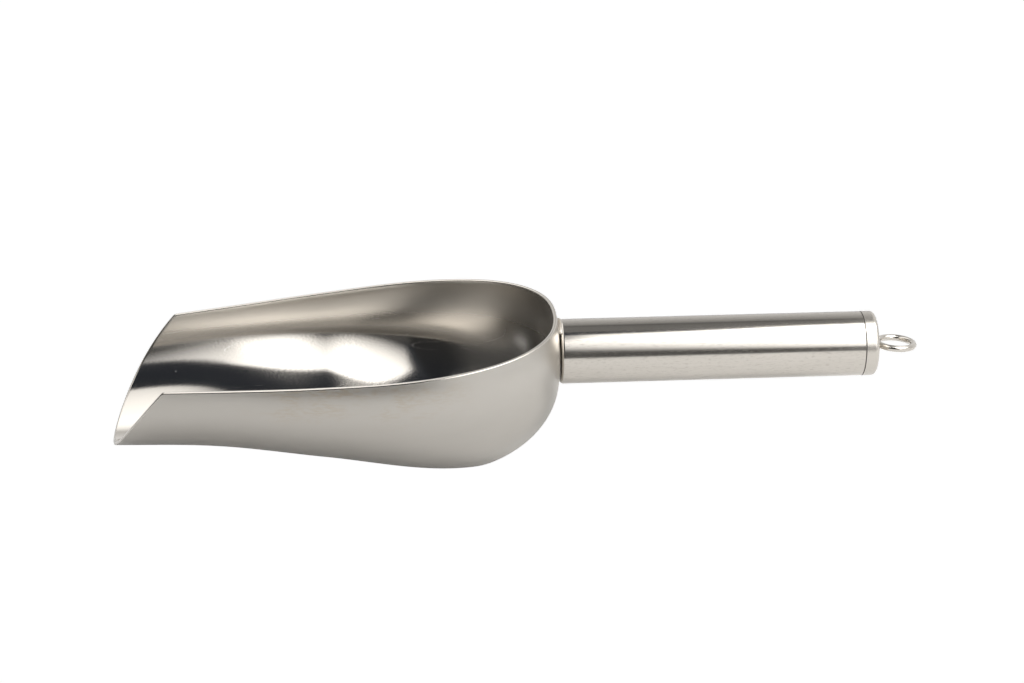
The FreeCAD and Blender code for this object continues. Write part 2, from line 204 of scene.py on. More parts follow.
def bisect(function, low, high):
    """Where a function that is negative at low and positive at high passes zero."""
    for _ in range(BISECTIONS):
        middle = (low + high) / 2
        if function(middle) < 0:
            low = middle
        else:
            high = middle
    return (low + high) / 2


def cut_ends(surface):
    """X where the cut starts at the lip's tip and where it passes over the back."""
    tip = bisect(lambda x: cut_at(x, EDGE_ROUNDING)[0] + surface.size_at(x)[1],
                 MOUTH_TIP[0] - 1, CORNER[0])
    back = bisect(lambda x: cut_at(x, EDGE_ROUNDING)[0] - surface.size_at(x)[1],
                  -DOME_FRONT, surface.seat_x)
    return tip, back


def half_angle(surface, x):
    """Section angle, from the bottom, at which the cut stops the sheet."""
    return math.acos(max(-1.0, min(1.0, -cut_at(x, EDGE_ROUNDING)[0] / surface.size_at(x)[1])))


ROW_STEP = 0.85
CORNER_STEP = 0.3
CORNER_REACH = 4.0
SAMPLES = 3000


def row_places(surface):
    """X of the rows of the mesh, closer together round the corner and where the cut turns across."""
    tip, back = cut_ends(surface)
    places, reach = [], [0.0]
    for step in range(SAMPLES + 1):
        places.append(tip + (back - tip) * (1 - math.cos(math.pi * step / SAMPLES)) / 2)
    points = [surface.point(x, half_angle(surface, x)) for x in places]
    for before, after in zip(points, points[1:]):
        near = abs(after.x - CORNER[0]) < CORNER_REACH
        reach.append(reach[-1] + (after - before).length / (CORNER_STEP if near else ROW_STEP))
    count = round(reach[-1])
    rows, index = [tip], 0
    for row in range(1, count):
        target = reach[-1] * row / count
        while reach[index + 1] < target:
            index += 1
        part = (target - reach[index]) / (reach[index + 1] - reach[index])
        rows.append(places[index] + (places[index + 1] - places[index]) * part)
    return rows + [back]


def matched_places(rows, surface):
    """The same rows on another surface, with the corner kept in place."""
    tip, back = cut_ends(surface)
    matched = []
    for x in rows:
        end, new_end = (rows[0], tip) if x < CORNER[0] else (rows[-1], back)
        matched.append(CORNER[0] + (x - CORNER[0]) * (new_end - CORNER[0]) / (end - CORNER[0]))
    return matched


# ---------------------------------------------------------------- mesh building


def without_repeats(face):
    """The face's corners, without one that repeats the corner before it."""
    return [corner for place, corner in enumerate(face) if corner != face[place - 1]]


def make_object(name, vertices, faces, materials, face_materials=None):
    """Smooth-shaded object. The vertices are about the handle's axis, in millimetres."""
    mesh = bpy.data.meshes.new(name)
    mesh.from_pydata([to_frame(*vertex) for vertex in vertices], [], faces)
    shell = bmesh.new()
    shell.from_mesh(mesh)
    bmesh.ops.recalc_face_normals(shell, faces=shell.faces)
    shell.to_mesh(mesh)
    shell.free()
    for material in materials:
        mesh.materials.append(material)
    if face_materials:
        mesh.polygons.foreach_set("material_index", face_materials)
    mesh.shade_smooth()
    thing = bpy.data.objects.new(name, mesh)
    bpy.context.scene.collection.objects.link(thing)
    return thing


COLUMNS = 96
BACK_ROWS = 22
SEAT_ROWS = 4
EDGE_STEPS = 8
EDGE_FLATNESS = 0.55
OUTSIDE, INSIDE, EDGE = range(3)


def sheet_mesh(surface, rows, flip, vertices, faces):
    """One side of the bowl. Returns the numbers of the vertices round its edge, starting at the tip."""

    def add(x, angle):
        vertices.append(surface.point(x, angle))
        return len(vertices) - 1

    def strip(before, after):
        for column in range(len(before) - 1):
            face = without_repeats([before[column], before[column + 1], after[column + 1], after[column]])
            faces.append(face[::-1] if flip else face)

    lines = [[add(rows[0], 0.0)] * (COLUMNS + 1)]
    for x in rows[1:-1]:
        reach = half_angle(surface, x)
        lines.append([add(x, reach * (2 * column / COLUMNS - 1)) for column in range(COLUMNS + 1)])
    edge = [line[-1] for line in lines]

    def ring(x, share=1.0):
        numbers = []
        for column in range(COLUMNS):
            point = surface.point(x, math.pi * (2 * column / COLUMNS - 1))
            vertices.append(Vector((x, point.y * share, point.z * share)))
            numbers.append(len(vertices) - 1)
        return numbers + numbers[:1]

    lines.append(ring(rows[-1]))
    edge.append(lines[-1][0])
    edge += [line[0] for line in reversed(lines[1:-1])]
    start = math.asin((rows[-1] - surface.centre_x) / surface.dome_length)
    for step in range(1, BACK_ROWS + 1):
        angle = start + (math.pi / 2 - start) * step / BACK_ROWS
        lines.append(ring(surface.centre_x + surface.dome_length * math.sin(angle)))
    for step in range(SEAT_ROWS - 1, 0, -1):
        lines.append(ring(surface.seat_x, step / SEAT_ROWS))
    vertices.append(Vector((surface.seat_x, 0, 0)))
    lines.append([len(vertices) - 1] * (COLUMNS + 1))
    for before, after in zip(lines, lines[1:]):
        strip(before, after)
    return edge


def make_bowl(materials):
    """Sheet with its two sides and the rounded edge that joins them."""
    outside = Surface(0.0)
    inside = Surface(SHEET)
    rows = row_places(outside)
    vertices, faces = [], []
    outer_edge = sheet_mesh(outside, rows, False, vertices, faces)
    outer_faces = len(faces)
    inner_edge = sheet_mesh(inside, matched_places(rows, inside), True, vertices, faces)
    inner_faces = len(faces) - outer_faces
    loops = [outer_edge]
    for step in range(1, EDGE_STEPS):
        turn = math.pi * step / EDGE_STEPS
        loop = []
        for first, second in zip(outer_edge, inner_edge):
            start, end = vertices[first], vertices[second]
            place = start.lerp(end, (1 - math.cos(turn)) / 2)
            outward = cut_at(start.x, EDGE_ROUNDING)[1]
            rise = EDGE_ROUNDING * math.sin(turn) ** EDGE_FLATNESS
            vertices.append(place + Vector((outward.x, 0, outward.y)) * rise)
            loop.append(len(vertices) - 1)
        loops.append(loop)
    loops.append(inner_edge)
    for before, after in zip(loops, loops[1:]):
        for place in range(len(before)):
            ahead = (place + 1) % len(before)
            faces.append([before[place], before[ahead], after[ahead], after[place]])
    edge_faces = len(faces) - outer_faces - inner_faces
    kinds = [OUTSIDE] * outer_faces + [INSIDE] * inner_faces + [EDGE] * edge_faces
    bowl = make_object("bowl_sheet", vertices, faces, materials, kinds)
    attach(bowl, "scoop")
    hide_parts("bowl")


# ---------------------------------------------------------------- turned pieces

TURN_STEPS = 144
ARC_STEPS = 7
SUPPORT = 0.12
ON_AXIS = 1e-6


def rounded(corners):
    """Profile from corners of (x, radius, rounding), with support points by each rounding."""
    profile = []
    for index, (x, radius, rounding) in enumerate(corners):
        here = Vector((x, radius))
        if rounding == 0:
            profile.append(here)
            continue
        before = (Vector(corners[index - 1][:2]) - here).normalized()
        after = (Vector(corners[(index + 1) % len(corners)][:2]) - here).normalized()
        half = before.angle(after) / 2
        reach = rounding / math.tan(half)
        centre = here + (before + after).normalized() * rounding / math.sin(half)
        start = here + before * reach
        end = here + after * reach
        profile.append(start + before * SUPPORT)
        for step in range(ARC_STEPS + 1):
            profile.append(centre + (start - centre).slerp(end - centre, step / ARC_STEPS) * rounding)
        profile.append(end + after * SUPPORT)
    return profile


def divided(profile, step):
    """The profile with its long runs divided."""
    points = []
    for index, here in enumerate(profile):
        ahead = profile[(index + 1) % len(profile)]
        count = max(1, round((ahead - here).length / step))
        points += [here.lerp(ahead, part / count) for part in range(count)]
    return points


def turn_profile(name, profile, materials):
    """Closed profile turned about the handle's axis. A point on the axis is one vertex."""
    vertices, rings, faces = [], [], []
    for point in profile:
        if point.y < ON_AXIS:
            vertices.append(Vector((point.x, 0, 0)))
            rings.append([len(vertices) - 1] * TURN_STEPS)
            continue
        ring = []
        for step in range(TURN_STEPS):
            turn = 2 * math.pi * step / TURN_STEPS
            vertices.append(Vector((point.x, point.y * math.sin(turn), point.y * math.cos(turn))))
            ring.append(len(vertices) - 1)
        rings.append(ring)
    for before, after in zip(rings, rings[1:] + rings[:1]):
        for step in range(TURN_STEPS):
            ahead = (step + 1) % TURN_STEPS
            face = without_repeats([before[step], before[ahead], after[ahead], after[step]])
            if len(face) > 2:
                faces.append(face)
    return make_object(name, vertices, faces, materials)


TUBE_WALL = 0.8
NOSE_RADIUS = 1.0
TUBE_END_ROUNDING = 0.1
LENGTH_STEP = 3.0


def make_handle_tube(material):
    """Tube with a closed, rounded end and an open end at the cap."""
    inner = TUBE_RADIUS - TUBE_WALL
    profile = rounded([
        (0.0, 0.0, 0.0),
        (0.0, TUBE_RADIUS, NOSE_RADIUS),
        (TUBE_LENGTH, TUBE_RADIUS, TUBE_END_ROUNDING),
        (TUBE_LENGTH, inner, TUBE_END_ROUNDING),
        (TUBE_WALL, inner, NOSE_RADIUS - TUBE_WALL),
        (TUBE_WALL, 0.0, 0.0),
    ])
    tube = turn_profile("handle_shell", divided(profile, LENGTH_STEP), [material])
    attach(tube, "scoop")
    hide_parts("handle_tube")


CAP_ROUNDING = 1.2
SEAM_ROUNDING = 0.16
SPIGOT_END = 80.1
SPIGOT_BORE = 7.3
CAP_FLOOR = 2.6
HOLE_RADIUS = 0.97
HOLE_ROUNDING = 0.15
SPIGOT_GAP = 0.01
SPIGOT_ROUNDING = 0.3


def make_end_cap(material):
    """Cap with its spigot and the hole for the ring's stem."""
    spigot = TUBE_RADIUS - TUBE_WALL - SPIGOT_GAP
    profile = rounded([
        (CAP_FACE, HOLE_RADIUS, HOLE_ROUNDING),
        (CAP_FACE, TUBE_RADIUS, CAP_ROUNDING),
        (TUBE_LENGTH, TUBE_RADIUS, SEAM_ROUNDING),
        (TUBE_LENGTH, spigot, 0.0),
        (SPIGOT_END, spigot, SPIGOT_ROUNDING),
        (SPIGOT_END, SPIGOT_BORE, SPIGOT_ROUNDING),
        (CAP_FACE - CAP_FLOOR, SPIGOT_BORE, SPIGOT_ROUNDING),
        (CAP_FACE - CAP_FLOOR, HOLE_RADIUS, HOLE_ROUNDING),
    ])
    cap = turn_profile("cap_turning", divided(profile[::-1], LENGTH_STEP), [material])
    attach(cap, "scoop")
    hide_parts("end_cap")


# ---------------------------------------------------------------- ring

WIRE_RADIUS = 0.95
STEM_RADIUS = 0.9
STEM_END = 88.7
STEM_END_ROUNDING = 0.2
STEM_ROOT_ROUNDING = 0.1
STEM_REACH = 0.4
EYE_RADIUS = 5.3
EYE_GAP = 0.3
EYE_DROOP = math.radians(3.1)
EYE_ROLL = math.radians(-6.5)
EYE_STEPS = 120
WIRE_STEPS = 32


def make_hang_ring(material):
    """Wire eye on its stem."""
    start = CAP_FACE + EYE_GAP + WIRE_RADIUS
    droop = Matrix.Rotation(EYE_DROOP, 3, "Y")
    roll = Matrix.Rotation(EYE_ROLL, 3, "X")
    eye_start = Vector((start, 0, 0))
    vertices, faces = [], []
    for step in range(EYE_STEPS):
        turn = 2 * math.pi * step / EYE_STEPS
        radial = Vector((-math.cos(turn), math.sin(turn), 0))
        for part in range(WIRE_STEPS):
            angle = 2 * math.pi * part / WIRE_STEPS
            wire = radial * math.cos(angle) * WIRE_RADIUS + Vector((0, 0, math.sin(angle) * WIRE_RADIUS))
            place = Vector((EYE_RADIUS, 0, 0)) + radial * EYE_RADIUS + wire
            vertices.append(roll @ (eye_start + droop @ place))
    for step in range(EYE_STEPS):
        for part in range(WIRE_STEPS):
            ahead, above = (step + 1) % EYE_STEPS, (part + 1) % WIRE_STEPS
            faces.append([step * WIRE_STEPS + part, ahead * WIRE_STEPS + part,
                          ahead * WIRE_STEPS + above, step * WIRE_STEPS + above])
    ring = make_object("ring_wire", vertices, faces, [material])
    profile = rounded([
        (STEM_END, 0.0, 0.0),
        (STEM_END, STEM_RADIUS, STEM_END_ROUNDING),
        (start + STEM_REACH, STEM_RADIUS, STEM_ROOT_ROUNDING),
        (start + STEM_REACH, 0.0, 0.0),
    ])
    stem = turn_profile("ring_stem", divided(profile, LENGTH_STEP), [material])
    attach(ring, "ring")
    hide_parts("hang_ring")
    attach(stem, "ring")


# ---------------------------------------------------------------- weld bead

BEAD_RADIUS = 0.72
BEAD_X = 0.05
BEAD_CENTRE_RADIUS = 9.1
BEAD_HALF_ANGLE = math.radians(28)
BEAD_STEPS = 120
BEAD_SIDES = 24
BEAD_END_STEPS = 8
RIPPLES = 17
RIPPLE_DEPTH = 0.035


def make_weld_bead(material):
    """Rippled bead in the groove over the top of the joint."""
    vertices, rings, faces = [], [], []
    places = []
    end_reach = BEAD_RADIUS / BEAD_CENTRE_RADIUS
    for step in range(BEAD_END_STEPS):
        turn = math.pi / 2 * step / BEAD_END_STEPS
        places.append((-BEAD_HALF_ANGLE - end_reach * math.cos(turn), math.sin(turn)))
    for step in range(BEAD_STEPS + 1):
        part = step / BEAD_STEPS
        ripple = 1 - RIPPLE_DEPTH * (1 - math.cos(2 * math.pi * RIPPLES * part))
        places.append((BEAD_HALF_ANGLE * (2 * part - 1), ripple))
    places += [(-angle, share) for angle, share in reversed(places[:BEAD_END_STEPS])]
    for angle, share in places:
        outward = Vector((0, math.sin(angle), math.cos(angle)))
        centre = Vector((BEAD_X, 0, 0)) + outward * BEAD_CENTRE_RADIUS
        if share == 0:
            vertices.append(centre)
            rings.append([len(vertices) - 1] * BEAD_SIDES)
            continue
        ring = []
        for side in range(BEAD_SIDES):
            turn = 2 * math.pi * side / BEAD_SIDES
            arm = Vector((math.cos(turn), 0, 0)) + outward * math.sin(turn)
            vertices.append(centre + arm * BEAD_RADIUS * share)
            ring.append(len(vertices) - 1)
        rings.append(ring)
    for before, after in zip(rings, rings[1:]):
        for side in range(BEAD_SIDES):
            ahead = (side + 1) % BEAD_SIDES
            faces.append(without_repeats([before[side], before[ahead], after[ahead], after[side]]))
    bead = make_object("weld_bead", vertices, faces, [material])
    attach(bead, "scoop")
    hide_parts("top_weld_bead")


# ---------------------------------------------------------------- materials


class Nodes:
    """Short way to add nodes to a tree and join them. A value is a number or another node's socket."""

    # Places of a Mix node's first input, second input and output, by the kind of its values.
    MIX_SOCKETS = {"RGBA": (6, 7, 2), "FLOAT": (2, 3, 0)}

    def __init__(self, tree):
        self.tree = tree
        tree.nodes.clear()

    def put(self, socket, value):
        if isinstance(value, bpy.types.NodeSocket):
            self.tree.links.new(value, socket)
        else:
            socket.default_value = value

    def add(self, kind, inputs=None, **settings):
        node = self.tree.nodes.new(kind)
        for name, value in settings.items():
            setattr(node, name, value)
        for name, value in (inputs or {}).items():
            self.put(node.inputs[name], value)
        return node

    def math(self, operation, first, second=0.0):
        node = self.add("ShaderNodeMath", {0: first, 1: second}, operation=operation)
        return node.outputs["Value"]

    def fade(self, value, start, end, low=0.0, high=1.0):
        """Smooth change from low to high as the value passes from start to end."""
        inputs = {"Value": value, "From Min": start, "From Max": end, "To Min": low, "To Max": high}
        return self.add("ShaderNodeMapRange", inputs, interpolation_type="SMOOTHSTEP").outputs["Result"]

    def mix(self, factor, first, second, kind="RGBA"):
        """Mix of two colours, or of two numbers where kind is FLOAT."""
        first_input, second_input, output = self.MIX_SOCKETS[kind]
        node = self.add("ShaderNodeMix", data_type=kind)
        self.put(node.inputs[0], factor)
        self.put(node.inputs[first_input], first)
        self.put(node.inputs[second_input], second)
        return node.outputs[output]

    def ramp(self, value, low, high, stops):
        """Colour by the value, from stops of (value, colour) between low and high."""
        part = self.add("ShaderNodeMapRange", {"Value": value, "From Min": low, "From Max": high})
        node = self.add("ShaderNodeValToRGB", {"Fac": part.outputs["Result"]})
        elements = node.color_ramp.elements
        elements.remove(elements[1])
        for index, (place, colour) in enumerate(stops):
            position = (place - low) / (high - low)
            element = elements[0] if index == 0 else elements.new(position)
            element.position = position
            element.color = (*colour, 1)
        return node.outputs["Color"]

    def place(self):
        """Place on the object, with X, Y and Z in millimetres."""
        where = self.add("ShaderNodeTexCoord").outputs["Object"]
        inputs = {0: where, 1: (1 / MM, 1 / MM, 1 / MM)}
        scaled = self.add("ShaderNodeVectorMath", inputs, operation="MULTIPLY").outputs["Vector"]
        return self.add("ShaderNodeSeparateXYZ", {"Vector": scaled}).outputs

    def scaled_place(self, size, turned):
        """Place in units of a feature's size. Turned: along the handle's axis and out from it."""
        where = self.place()
        second, third = where["Y"], where["Z"]
        if turned:
            height = self.math("SUBTRACT", where["Z"], AXIS_HEIGHT)
            square = self.math("ADD", self.math("POWER", where["Y"], 2.0), self.math("POWER", height, 2.0))
            second, third = self.math("SQRT", square), 0.0
        joined = self.add("ShaderNodeCombineXYZ", {"X": where["X"], "Y": second, "Z": third})
        inputs = {0: joined.outputs["Vector"], 1: tuple(1 / axis for axis in size)}
        return self.add("ShaderNodeVectorMath", inputs, operation="MULTIPLY").outputs["Vector"]

    def noise(self, size, detail=2.0, turned=False):
        """Noise from 0 to 1 with features of a size in millimetres along X, Y and Z."""
        inputs = {"Vector": self.scaled_place(size, turned), "Scale": 1.0, "Detail": detail}
        return self.add("ShaderNodeTexNoise", inputs).outputs["Fac"]


POLISHED = ((0.57, 0.535, 0.485, 1), (0.61, 0.575, 0.525, 1))
# Satin colours of the bowl's outside: a satin finish, and darker than the polished colours as painted
# shade for the dimmer floor that the outside reflects.
SATIN_AND_PAINTED_SHADE = ((0.495, 0.47, 0.43, 1), (0.52, 0.495, 0.455, 1))
DETAIL = 3.0
CLOUD_RANGE = (0.1, 0.9)

# Marks: colour and roughness where a mark is full, the sizes of its noise in millimetres, and the
# ranges over which it fades, of a noise's value or of a place in millimetres.
DUST = ((0.75, 0.74, 0.72, 1), 0.6)
DUST_CELL = (5, 5, 5)
DUST_EDGE = (0.028, 0.014)
SCRATCH = ((0.68, 0.66, 0.63, 1), 0.4)
SCRATCH_SIZE = (70, 9, 9)
SCRATCH_EDGE = (0.0016, 0.0006)
SCRATCH_PATCH = (9, 9, 9)
SCRATCH_PATCH_EDGE = (0.5, 0.6)
SCRATCH_STRENGTH = 0.35
# Dull wall: a rougher finish, and a darker colour that is painted shade for the dimmer reflections high on
# the inside walls and at the back.
DULL_AND_PAINTED_SHADE = ((0.5, 0.485, 0.46, 1), 0.4)
DULL_AND_SHADE_HEIGHT = (24.0, 36.0)
DULL_AND_SHADE_BACK = (-24.0, -4.0)
DULL_AND_SHADE_BACK_STRENGTH = 0.5
STAIN = ((0.45, 0.37, 0.27, 1), 0.36)
STAIN_HEIGHT = (24.0, 38.0)
STAIN_FRONT = (-84.0, -66.0)
STAIN_REAR = (-8.0, -40.0)
STAIN_PATCH = (9, 9, 5)
STAIN_PATCH_EDGE = (0.42, 0.62)
STAIN_HATCHING = (2.2, 2.2, 0.5)
STAIN_HATCHING_EDGE = (0.35, 0.65)
STAIN_STRENGTH = 0.55
SPECKLE = ((0.46, 0.43, 0.385, 1), 0.24)
SPECKLE_SIZE = (1.6, 0.35, 0.35)
SPECKLE_EDGE = (0.5, 0.7)
SPECKLE_STRENGTH = 0.6
SEAM = ((0.1, 0.09, 0.08, 1), 0.5)
SEAM_EDGE = (0.22, 0.1)
TINT = ((0.52, 0.43, 0.31, 1), 0.4)
TINT_SIZE = (1.4, 1.4, 1.4)
TINT_EDGE = (0.4, 0.7)
TINT_STRENGTH = 0.6


def dust(nodes):
    """Sparse specks."""
    place = nodes.scaled_place(DUST_CELL, False)
    cells = nodes.add("ShaderNodeTexVoronoi", {"Vector": place, "Scale": 1.0})
    return nodes.fade(cells.outputs["Distance"], *DUST_EDGE), *DUST


def scratches(nodes):
    """Long fine scratches, broken up."""
    line = nodes.math("ABSOLUTE", nodes.math("SUBTRACT", nodes.noise(SCRATCH_SIZE, 0.0), 0.5))
    thin = nodes.fade(line, *SCRATCH_EDGE)
    patches = nodes.fade(nodes.noise(SCRATCH_PATCH), *SCRATCH_PATCH_EDGE)
    mask = nodes.math("MULTIPLY", thin, patches)
    return nodes.math("MULTIPLY", mask, SCRATCH_STRENGTH), *SCRATCH


def dull_and_shaded_wall(nodes):
    """Duller, rougher finish high on the walls and at the back, with a darker colour there that is painted
    shade, dimming the reflections.
    """
    where = nodes.place()
    height = nodes.fade(where["Z"], *DULL_AND_SHADE_HEIGHT)
    back = nodes.fade(where["X"], *DULL_AND_SHADE_BACK, 0.0, DULL_AND_SHADE_BACK_STRENGTH)
    return nodes.math("MAXIMUM", height, back), *DULL_AND_PAINTED_SHADE


def stains(nodes):
    """Faint brownish marks and fine hatching below the rim."""
    where = nodes.place()
    high = nodes.fade(where["Z"], *STAIN_HEIGHT)
    front = nodes.fade(where["X"], *STAIN_FRONT)
    along = nodes.math("MULTIPLY", front, nodes.fade(where["X"], *STAIN_REAR))
    patches = nodes.fade(nodes.noise(STAIN_PATCH, DETAIL), *STAIN_PATCH_EDGE)
    hatching = nodes.fade(nodes.noise(STAIN_HATCHING, 2.0), *STAIN_HATCHING_EDGE)
    broken = nodes.math("MULTIPLY", patches, hatching)
    mask = nodes.math("MULTIPLY", nodes.math("MULTIPLY", high, along), broken)
    return nodes.math("MULTIPLY", mask, STAIN_STRENGTH), *STAIN


def speckle(nodes):
    """Fine darker speckle of the brushed tube."""
    fine = nodes.fade(nodes.noise(SPECKLE_SIZE, DETAIL), *SPECKLE_EDGE)
    return nodes.math("MULTIPLY", fine, SPECKLE_STRENGTH), *SPECKLE


def seam(nodes):
    """Dark line where the cap meets the tube."""
    past = nodes.math("SUBTRACT", nodes.place()["X"], HANDLE_START + TUBE_LENGTH)
    return nodes.fade(nodes.math("ABSOLUTE", past), *SEAM_EDGE), *SEAM


def heat_tint(nodes):
    """Straw tint left by welding."""
    return nodes.fade(nodes.noise(TINT_SIZE, DETAIL), *TINT_EDGE, 0.0, TINT_STRENGTH), *TINT


def make_steel(name, colours, roughness, spread, cloud, grain, depth, turned=False, marks=()):
    """Steel with clouds of two colours and of roughness, a fine grain and marks.

    The sizes of the clouds and the grain, and the grain's depth, are in millimetres.
    """
    material = bpy.data.materials.new(name)
    material.use_nodes = True
    nodes = Nodes(material.node_tree)
    clouds = nodes.noise(cloud, DETAIL, turned)
    colour = nodes.mix(nodes.fade(clouds, *CLOUD_RANGE), *colours)
    rough = nodes.fade(clouds, *CLOUD_RANGE, roughness + spread, roughness - spread)
    for mark in marks:
        mask, mark_colour, mark_roughness = mark(nodes)
        colour = nodes.mix(mask, colour, mark_colour)
        rough = nodes.mix(mask, rough, mark_roughness, "FLOAT")
    height = nodes.noise(grain, DETAIL, turned)
    bump = nodes.add("ShaderNodeBump", {"Height": height, "Distance": depth * MM})
    shader = nodes.add("ShaderNodeBsdfPrincipled", {
        "Base Color": colour, "Metallic": 1.0, "Roughness": rough, "Normal": bump.outputs["Normal"]})
    nodes.add("ShaderNodeOutputMaterial", {"Surface": shader.outputs["BSDF"]})
    return material


# ---------------------------------------------------------------- studio

CAMERA_AIM = Vector((-1.3, 0, 36.4)) * MM
CAMERA_DISTANCE = 0.670
CAMERA_ELEVATION = math.radians(25.38)
CAMERA_AZIMUTH = math.radians(-3.95)
CAMERA_ROLL = math.radians(0.15)
CAMERA_LENS = 80.86
FLOOR_SIZE = 6.0
FLOOR_ROUGHNESS = 0.9
SHOWN_COLOUR = (0.8, 0.8, 0.8)
SHOWN_GLOW = 1.0
REFLECTED_COLOUR = (0.69, 0.69, 0.69)
REFLECTED_GLOW = 0.12

# Softboxes, in metres: height, reach in X and Y, radiance, fades along X or Y, and the lines that
# cut their sides. A line is (at X, at Y, X per Y), with where it starts and ends to fade in X.
FRONT_SOFTBOX = {
    "height": 0.6, "x": (0.0, 0.75), "y": (-2.6, 0.12), "radiance": 2.7,
    "fades": [("Y", -2.6, -1.9)],
    "edges": [((0.097, -0.72, -0.388), (-0.25, 0.3)), ((0.034, -0.42, 0.29), (-0.014, 0.014)),
              ((0.044, -0.42, 0.0), (-0.02, 0.02)), ((0.07, -0.03, 1.1), (-0.06, 0.06))]}
REAR_SOFTBOX = {
    "height": 0.6, "x": (-0.6, 0.25), "y": (-0.4, 1.2), "radiance": 1.5,
    "fades": [("X", -0.6, -0.25), ("Y", 1.2, 0.4)],
    "edges": [((-0.083, -0.1, 0.31), (0.012, -0.012)), ((-0.1, -0.02, 0.0), (0.12, -0.04))]}
HANDLE_SOFTBOX = {
    "height": 0.3, "x": (0.035, 0.3), "y": (-0.14, 0.06), "radiance": 2.0,
    "fades": [("X", 0.035, 0.05)],
    "edges": [((0.04, -0.04, 1.9), (-0.03, 0.03))]}

# The room's colours by the angle of a direction about X: 0 in front, 90 overhead and 180 behind.
# The left, far left and right ones take over where the direction's X is past their fades.
FAR_LEFT_ROOM = [(0, (0.1, 0.1, 0.1)), (50, (0.07, 0.07, 0.07)), (58, (0.18, 0.17, 0.16)),
                 (140, (0.2, 0.2, 0.2)), (180, (0.9, 0.9, 0.9))]
LEFT_ROOM = [(0, (0.1, 0.1, 0.1)), (10, (0.04, 0.04, 0.04)), (55, (0.022, 0.025, 0.03)),
             (80, (0.03, 0.035, 0.045)), (120, (0.5, 0.5, 0.5)), (180, (1.0, 1.0, 1.0))]
MIDDLE_ROOM = [(0, (0.3, 0.3, 0.3)), (3, (0.1, 0.1, 0.1)), (20, (0.1, 0.1, 0.1)),
               (30, (0.03, 0.035, 0.045)), (93, (0.03, 0.035, 0.045)), (97, (0.21, 0.21, 0.21)),
               (119, (0.21, 0.21, 0.21)), (122, (0.1, 0.1, 0.1)), (130, (0.35, 0.35, 0.35)),
               (150, (0.6, 0.6, 0.6)), (180, (0.85, 0.85, 0.85))]
RIGHT_ROOM = [(0, (0.5, 0.5, 0.5)), (8, (1.1, 1.1, 1.1)), (40, (1.4, 1.4, 1.4)), (70, (0.7, 0.7, 0.7)),
              (180, (1.0, 1.0, 1.0))]
FAR_LEFT_FADE = (-0.2, -0.5)
LEFT_FADE = (0.05, 0.0)
RIGHT_FADE = (0.225, 0.26)


def make_camera():
    """Camera at the photograph's viewing angle."""
    data = bpy.data.cameras.new("camera")
    data.lens = CAMERA_LENS
    camera = bpy.data.objects.new("camera", data)
    bpy.context.scene.collection.objects.link(camera)
    level = math.cos(CAMERA_ELEVATION)
    back = Vector((math.sin(CAMERA_AZIMUTH) * level, -math.cos(CAMERA_AZIMUTH) * level,
                   math.sin(CAMERA_ELEVATION)))
    camera.location = CAMERA_AIM + back * CAMERA_DISTANCE
    camera.rotation_mode = "QUATERNION"
    camera.rotation_quaternion = (-back).to_track_quat("-Z", "Y") @ Quaternion((0, 0, 1), CAMERA_ROLL)
    bpy.context.scene.camera = camera


def make_floor(name, colour, glow):
    """Plain pale floor that shines by itself, which softens the shadows on it."""
    mesh = bpy.data.meshes.new(name)
    half = FLOOR_SIZE / 2
    corners = [(-half, -half, 0), (half, -half, 0), (half, half, 0), (-half, half, 0)]
    mesh.from_pydata(corners, [], [(0, 1, 2, 3)])
    floor = bpy.data.objects.new(name, mesh)
    bpy.context.scene.collection.objects.link(floor)
    material = bpy.data.materials.new(name)
    material.use_nodes = True
    nodes = Nodes(material.node_tree)
    paper = nodes.add("ShaderNodeBsdfPrincipled", {
        "Base Color": (*colour, 1), "Roughness": FLOOR_ROUGHNESS, "Specular IOR Level": 0.0,
        "Emission Color": (*colour, 1), "Emission Strength": glow})
    nodes.add("ShaderNodeOutputMaterial", {"Surface": paper.outputs["BSDF"]})
    mesh.materials.append(material)
    return floor


def make_floors():
    """The floor that the camera sees, which is white, and a darker one that the steel reflects."""
    shown = make_floor("floor", SHOWN_COLOUR, SHOWN_GLOW)
    shown.visible_diffuse = False
    shown.visible_glossy = False
    shown.visible_shadow = False
    reflected = make_floor("floor_reflected", REFLECTED_COLOUR, REFLECTED_GLOW)
    reflected.visible_camera = False


def make_softbox(name, box):
    """Softbox overhead, with slanting sides that fade."""
    data = bpy.data.lights.new(name, "AREA")
    data.shape = "RECTANGLE"
    data.size = box["x"][1] - box["x"][0]
    data.size_y = box["y"][1] - box["y"][0]
    data.energy = box["radiance"] * math.pi * data.size * data.size_y
    data.use_nodes = True
    nodes = Nodes(data.node_tree)
    place = nodes.add("ShaderNodeSeparateXYZ", {
        "Vector": nodes.add("ShaderNodeNewGeometry").outputs["Position"]}).outputs
    share = 1.0
    for axis, start, end in box["fades"]:
        share = nodes.math("MULTIPLY", share, nodes.fade(place[axis], start, end))
    for (at_x, at_y, slant), fade in box["edges"]:
        edge = nodes.math("MULTIPLY", nodes.math("SUBTRACT", place["Y"], at_y), slant)
        across = nodes.math("SUBTRACT", nodes.math("SUBTRACT", place["X"], at_x), edge)
        share = nodes.math("MULTIPLY", share, nodes.fade(across, *fade))
    light = nodes.add("ShaderNodeEmission", {"Strength": share})
    nodes.add("ShaderNodeOutputLight", {"Surface": light.outputs["Emission"]})
    softbox = bpy.data.objects.new(name, data)
    softbox.location = (sum(box["x"]) / 2, sum(box["y"]) / 2, box["height"])
    softbox.visible_camera = False
    bpy.context.scene.collection.objects.link(softbox)


